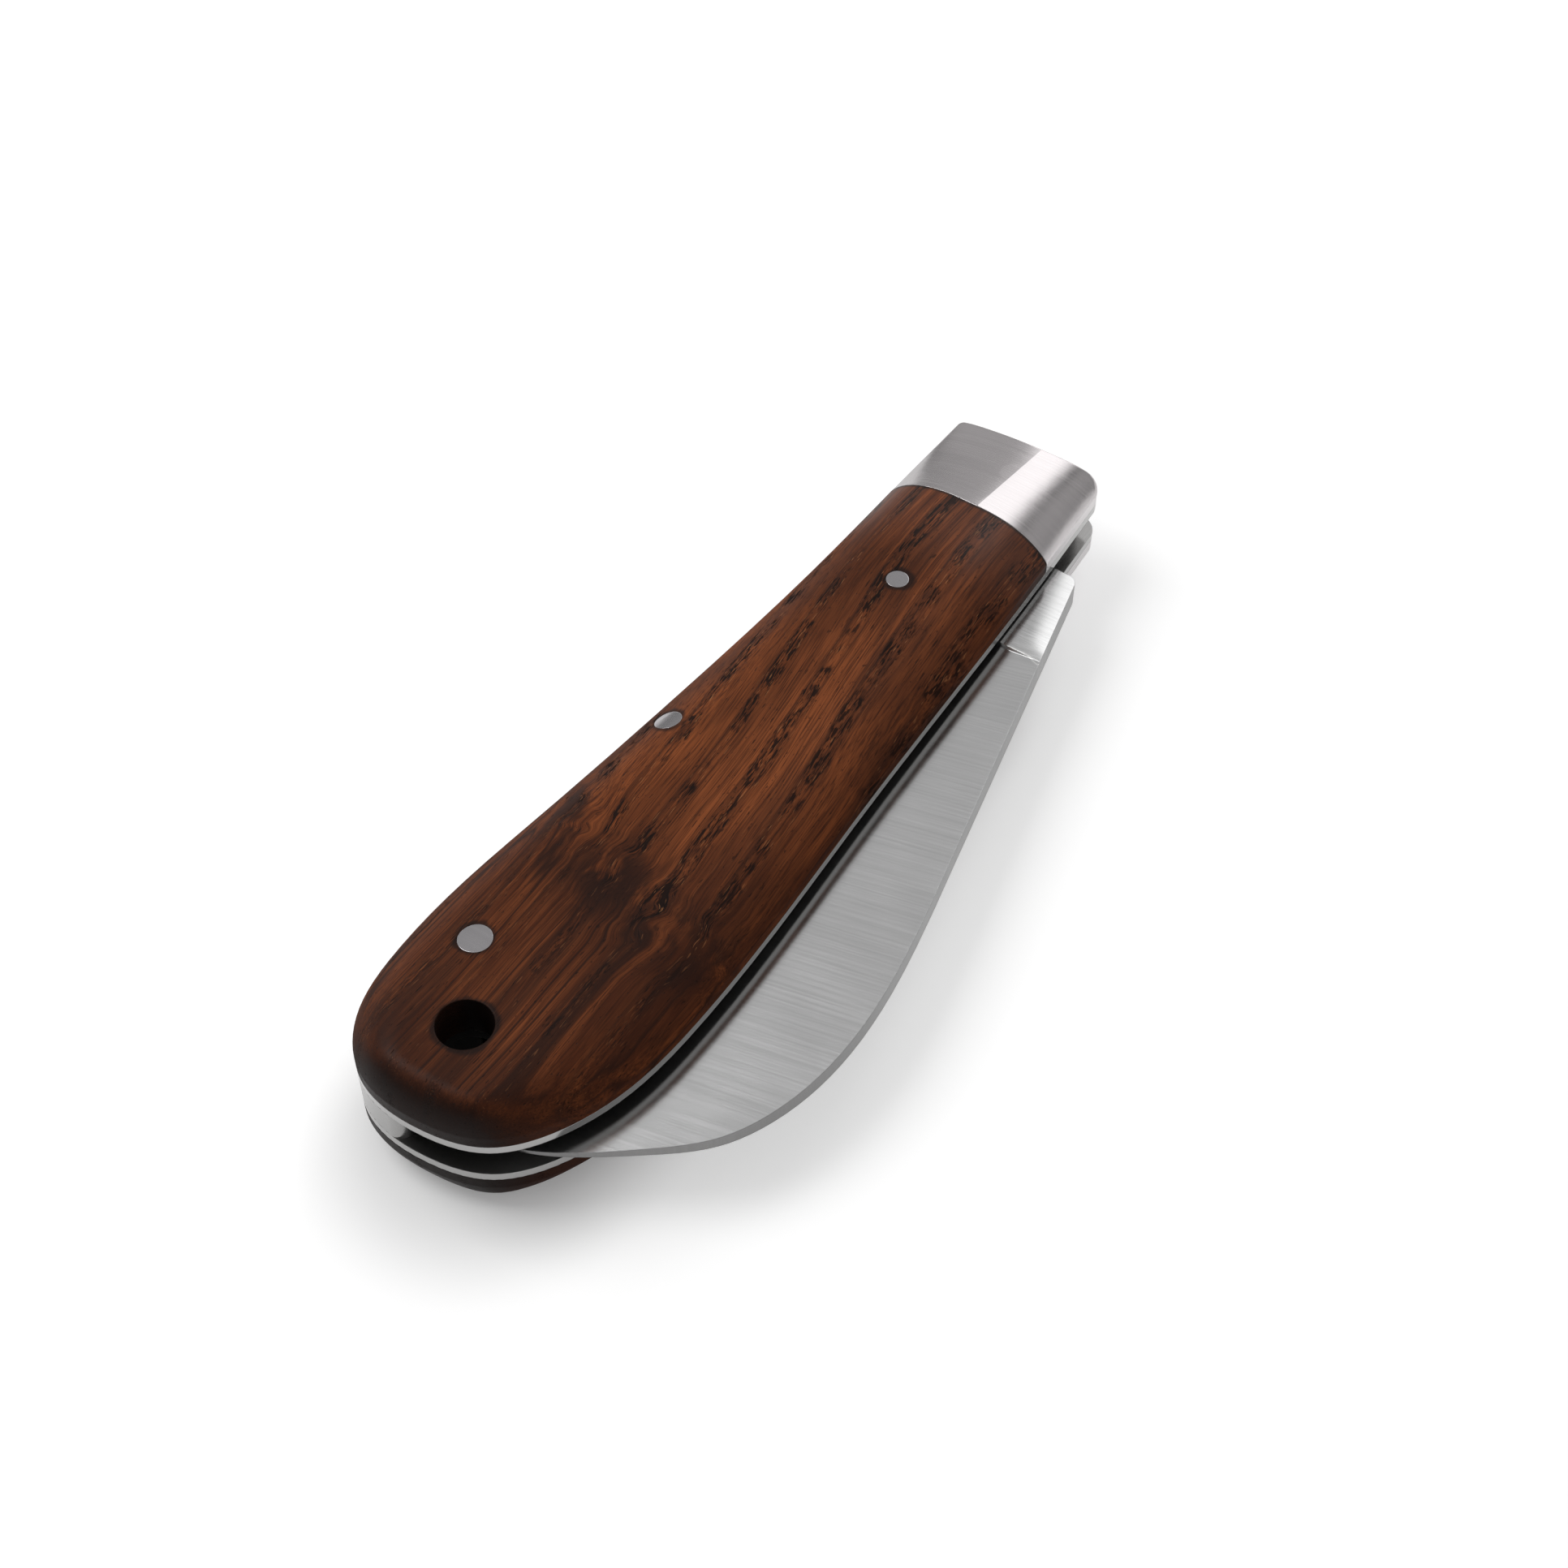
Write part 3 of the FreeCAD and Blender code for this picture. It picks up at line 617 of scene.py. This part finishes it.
def slot_painted_shade(nodes):
    """Share of painted shade on a liner or the spring: on the faces in the slot and in the lanyard hole."""
    place = nodes.place()
    tang_x = RICASSO_START[0]
    inner_face = nodes.ramp(nodes.absolute(nodes.facing()[2]), 0.6, 0.9, high=0.6)
    past_tang = nodes.ramp(nodes.split(place)[0], tang_x - SLOT_SHADE_FADE, tang_x)
    from_hole = nodes.total(nodes.from_axis(place, HOLE_CENTRE), -HOLE_RADIUS)
    hole = nodes.ramp(from_hole, HOLE_SHADE_REACH, HOLE_SHADE_CORE, high=0.97)
    return nodes.largest(nodes.product(inner_face, past_tang), hole)


def steel(
    name, colour, roughness, lines_along, spread=0.8, streak=0.03, edge=0.12, slant=0.0,
    height=None, highlight_paint=None, shade_paint=None, dull=0.0, flush=None,
):
    """Ground steel with fine lines along one axis of the object, which spread its reflections across them.

    Height draws a bump on the surface, the next function a painted highlight and the last painted shade,
    which also dulls it by a roughness.
    Edges are rounded by a few tenths of a millimetre, but not those of a flush pin, given by its circle.
    """
    material, nodes = new_material(name)
    place = nodes.place()
    lines = brush_lines(nodes, lines_along, slant)
    smears = nodes.noise(place, SMEAR_NOISE)
    least = roughness - LINE_ROUGHNESS
    most = roughness + LINE_ROUGHNESS
    rough_parts = [
        nodes.ramp(lines, NOISE_LOW, NOISE_HIGH, least, most),
        nodes.ramp(smears, NOISE_LOW, NOISE_HIGH, -SMEAR_ROUGHNESS, SMEAR_ROUGHNESS),
    ]
    dark = tuple(channel * (1 - streak) for channel in colour) + (1,)
    light = tuple(channel * (1 + streak) for channel in colour) + (1,)
    layers = [(nodes.ramp(lines, NOISE_LOW, NOISE_HIGH), light)]
    # A painted highlight
    if highlight_paint:
        layers.append((highlight_paint(nodes), PAINTED_GLINT_COLOUR))
    # Painted shade, which also dulls the steel by a roughness
    if shade_paint:
        painted_share = shade_paint(nodes)
        layers.append((painted_share, PAINTED_SHADE_COLOUR))
        rough_parts.append(nodes.product(painted_share, dull))

    rounding = edge * MM
    if flush:
        centre, radius = flush
        from_pin = nodes.from_axis(place, centre)
        rounding = nodes.ramp(from_pin, radius + FLUSH_START, radius + FLUSH_END, high=edge * MM)
    normal = nodes.soft_edges(rounding)
    if height:
        normal = nodes.bump(height(nodes), 1.0, 1.0, normal)

    nodes.finish({
        "Base Color": nodes.layered(dark, layers),
        "Metallic": 1.0,
        "Roughness": nodes.total(*rough_parts),
        "Anisotropic": spread,
        "Tangent": nodes.direction(ACROSS_LINES[lines_along]),
        "Normal": normal,
    })
    return material


def dress_knife():
    """Give every piece of the knife its finish."""
    # The blade, the bolsters, the liners and the spring carry painted shade, and the blade a painted
    # highlight at its plunge
    blade_steel = steel(
        "blade_steel", (0.62, 0.62, 0.62), 0.22, "Y", streak=0.045, slant=BLADE_SLANT,
        height=ricasso_round, highlight_paint=plunge_highlight, shade_paint=blade_painted_shade,
    )
    bolster_steel = steel(
        "bolster_steel", (0.58, 0.55, 0.555), 0.22, "Y", streak=0.05, edge=0.2,
        height=bolster_twist, shade_paint=bolster_painted_shade, flush=pin_circle("pivot_pin"),
    )
    liner_steel = steel("liner_steel", (0.4, 0.395, 0.39), 0.18, "X", shade_paint=slot_painted_shade, dull=0.5)
    spring_steel = steel("spring_steel", (0.36, 0.355, 0.35), 0.25, "X", shade_paint=slot_painted_shade, dull=0.5)
    pin_steel = steel("pin_steel", (0.42, 0.405, 0.415), 0.22, "Y", spread=0.3, streak=0.01)
    washer_bronze = steel("washer_bronze", (0.62, 0.42, 0.22), 0.4, "X")
    dress(smoked_wood(), "scale_top", "scale_bottom")
    dress(blade_steel, "blade")
    dress(bolster_steel, "bolster_top", "bolster_bottom", "pivot_pin")
    dress(liner_steel, "liner_top", "liner_bottom")
    dress(spring_steel, "backspring")
    dress(pin_steel, "centre_pin", "butt_pin", "front_rivet_top", "front_rivet_bottom")
    dress(washer_bronze, "washer_top", "washer_bottom")


def aim(item, place, direction):
    """Put a camera or a lamp at a place and turn it along a direction."""
    item.location = place
    item.rotation_euler = direction.to_track_quat("-Z", "Y").to_euler()
    bpy.context.scene.collection.objects.link(item)


def camera():
    """The photograph's camera."""
    data = bpy.data.cameras.new("camera")
    data.lens = FOCAL_PIXELS / PHOTO_WIDTH * SENSOR_WIDTH
    data.sensor_width = SENSOR_WIDTH
    data.clip_start = CLIP_START
    item = bpy.data.objects.new("camera", data)
    aim(item, CAMERA_PLACE, CAMERA_TARGET - CAMERA_PLACE)
    bpy.context.scene.camera = item


def heading(azimuth, elevation):
    """Direction from the knife, by angles in degrees."""
    turn = math.radians(azimuth)
    rise = math.radians(elevation)
    return Vector((math.cos(turn) * math.cos(rise), math.sin(turn) * math.cos(rise), math.sin(rise)))


def softbox(name, azimuth, elevation, distance, size, radiance):
    """A square lamp that faces the knife; a radiance of 1 looks white in a mirror."""
    direction = heading(azimuth, elevation)
    data = bpy.data.lights.new(name, "AREA")
    data.shape = "SQUARE"
    data.size = size
    data.energy = radiance * math.pi * size * size
    aim(bpy.data.objects.new(name, data), direction * distance, -direction)


def staged(name, corners, material):
    """A flat face of the studio, which isn't part of the knife."""
    mesh = bpy.data.meshes.new(name)
    mesh.from_pydata(corners, [], [tuple(range(len(corners)))])
    mesh.materials.append(material)
    item = bpy.data.objects.new(name, mesh)
    bpy.context.scene.collection.objects.link(item)
    return item


def glowing_card(name, azimuths, elevations, distance, radiance):
    """A lit card between two pairs of angles, seen in reflections only, which fades to its second azimuth.

    The fade is drawn by the angle from -X, because the angle from +X jumps where the card stands.
    """
    first, last = azimuths
    low, high = elevations
    material, nodes = new_material(name)
    x, y, z = nodes.axes()
    turn = nodes.math("ARCTAN2", y, nodes.product(x, -1.0))
    fade_end = math.radians(180.0 - last)
    fade_start = math.radians(180.0 - (first + last) / 2)
    strength = nodes.ramp(turn, fade_end, fade_start, high=radiance)
    glow = nodes.add("ShaderNodeEmission", {"Strength": strength})
    nodes.output(glow.outputs[0])
    corners = [(first, low), (first, high), (last, high), (last, low)]
    item = staged(name, [heading(*corner) * distance for corner in corners], material)
    item.visible_camera = False


def floor():
    """A pale floor that is white where nothing shades it, with a painted shadow under the handle and painted
    dimness far from the knife.
    """
    material, nodes = new_material("pale_floor")
    rays = nodes.add("ShaderNodeLightPath").outputs
    seen = nodes.largest(rays["Is Camera Ray"], rays["Is Glossy Ray"], rays["Is Transmission Ray"])
    x, y, z = nodes.axes()
    from_middle = nodes.absolute(nodes.total(x, -FOOT_MIDDLE_X))
    past_end = nodes.largest(nodes.total(from_middle, -FOOT_HALF_LENGTH), 0.0)
    from_foot = nodes.math("SQRT", nodes.total(nodes.product(past_end, past_end), nodes.product(y, y)))
    # The glow is least under the handle: a painted shadow
    strength = nodes.ramp(from_foot, FOOT_HALF_WIDTH, FOOT_HALF_WIDTH + FOOT_FADE, GLOW_UNDER, GLOW_OPEN)
    # Far from the knife colour and glow fade: a painted falloff of light
    near = nodes.ramp(from_foot, FLOOR_FADE_END, FLOOR_FADE_START)
    matte = nodes.add("ShaderNodeBsdfDiffuse", {"Color": nodes.mix(near, FLOOR_FAR, FLOOR_NEAR)})
    glow = nodes.add("ShaderNodeEmission", {"Strength": nodes.product(seen, strength, near)})
    nodes.output(nodes.add("ShaderNodeAddShader", {0: matte.outputs[0], 1: glow.outputs[0]}).outputs[0])
    size = FLOOR_SIZE
    staged("floor", [(-size, -size, 0), (size, -size, 0), (size, size, 0), (-size, size, 0)], material)


def world():
    """A grey studio, paler overhead and behind the knife than at the horizon and behind the camera."""
    studio = bpy.data.worlds.new("studio")
    studio.use_nodes = True
    bpy.context.scene.world = studio
    nodes = Nodes(studio.node_tree)
    x, y, z = nodes.split(nodes.add("ShaderNodeTexCoord").outputs["Generated"])
    light = nodes.ramp(z, 0.0, OVERHEAD_RISE, HORIZON_LIGHT, OVERHEAD_LIGHT)
    front = nodes.total(nodes.product(x, FRONT_SIDE[0]), nodes.product(y, FRONT_SIDE[1]))
    share = nodes.ramp(front, FRONT_START, FRONT_FULL, 1.0, FRONT_SHARE)
    background = nodes.add("ShaderNodeBackground", {"Strength": nodes.product(light, share)})
    nodes.add("ShaderNodeOutputWorld", {"Surface": background.outputs[0]})


dress_knife()
camera()
floor()
world()
glowing_card("end_card", azimuths=(198.5, 163.0), elevations=(4.0, 56.0), distance=0.5, radiance=1.8)
softbox("key_softbox", azimuth=-70.0, elevation=55.0, distance=0.6, size=0.34, radiance=4.0)
bpy.context.scene.view_settings.view_transform = "Standard"
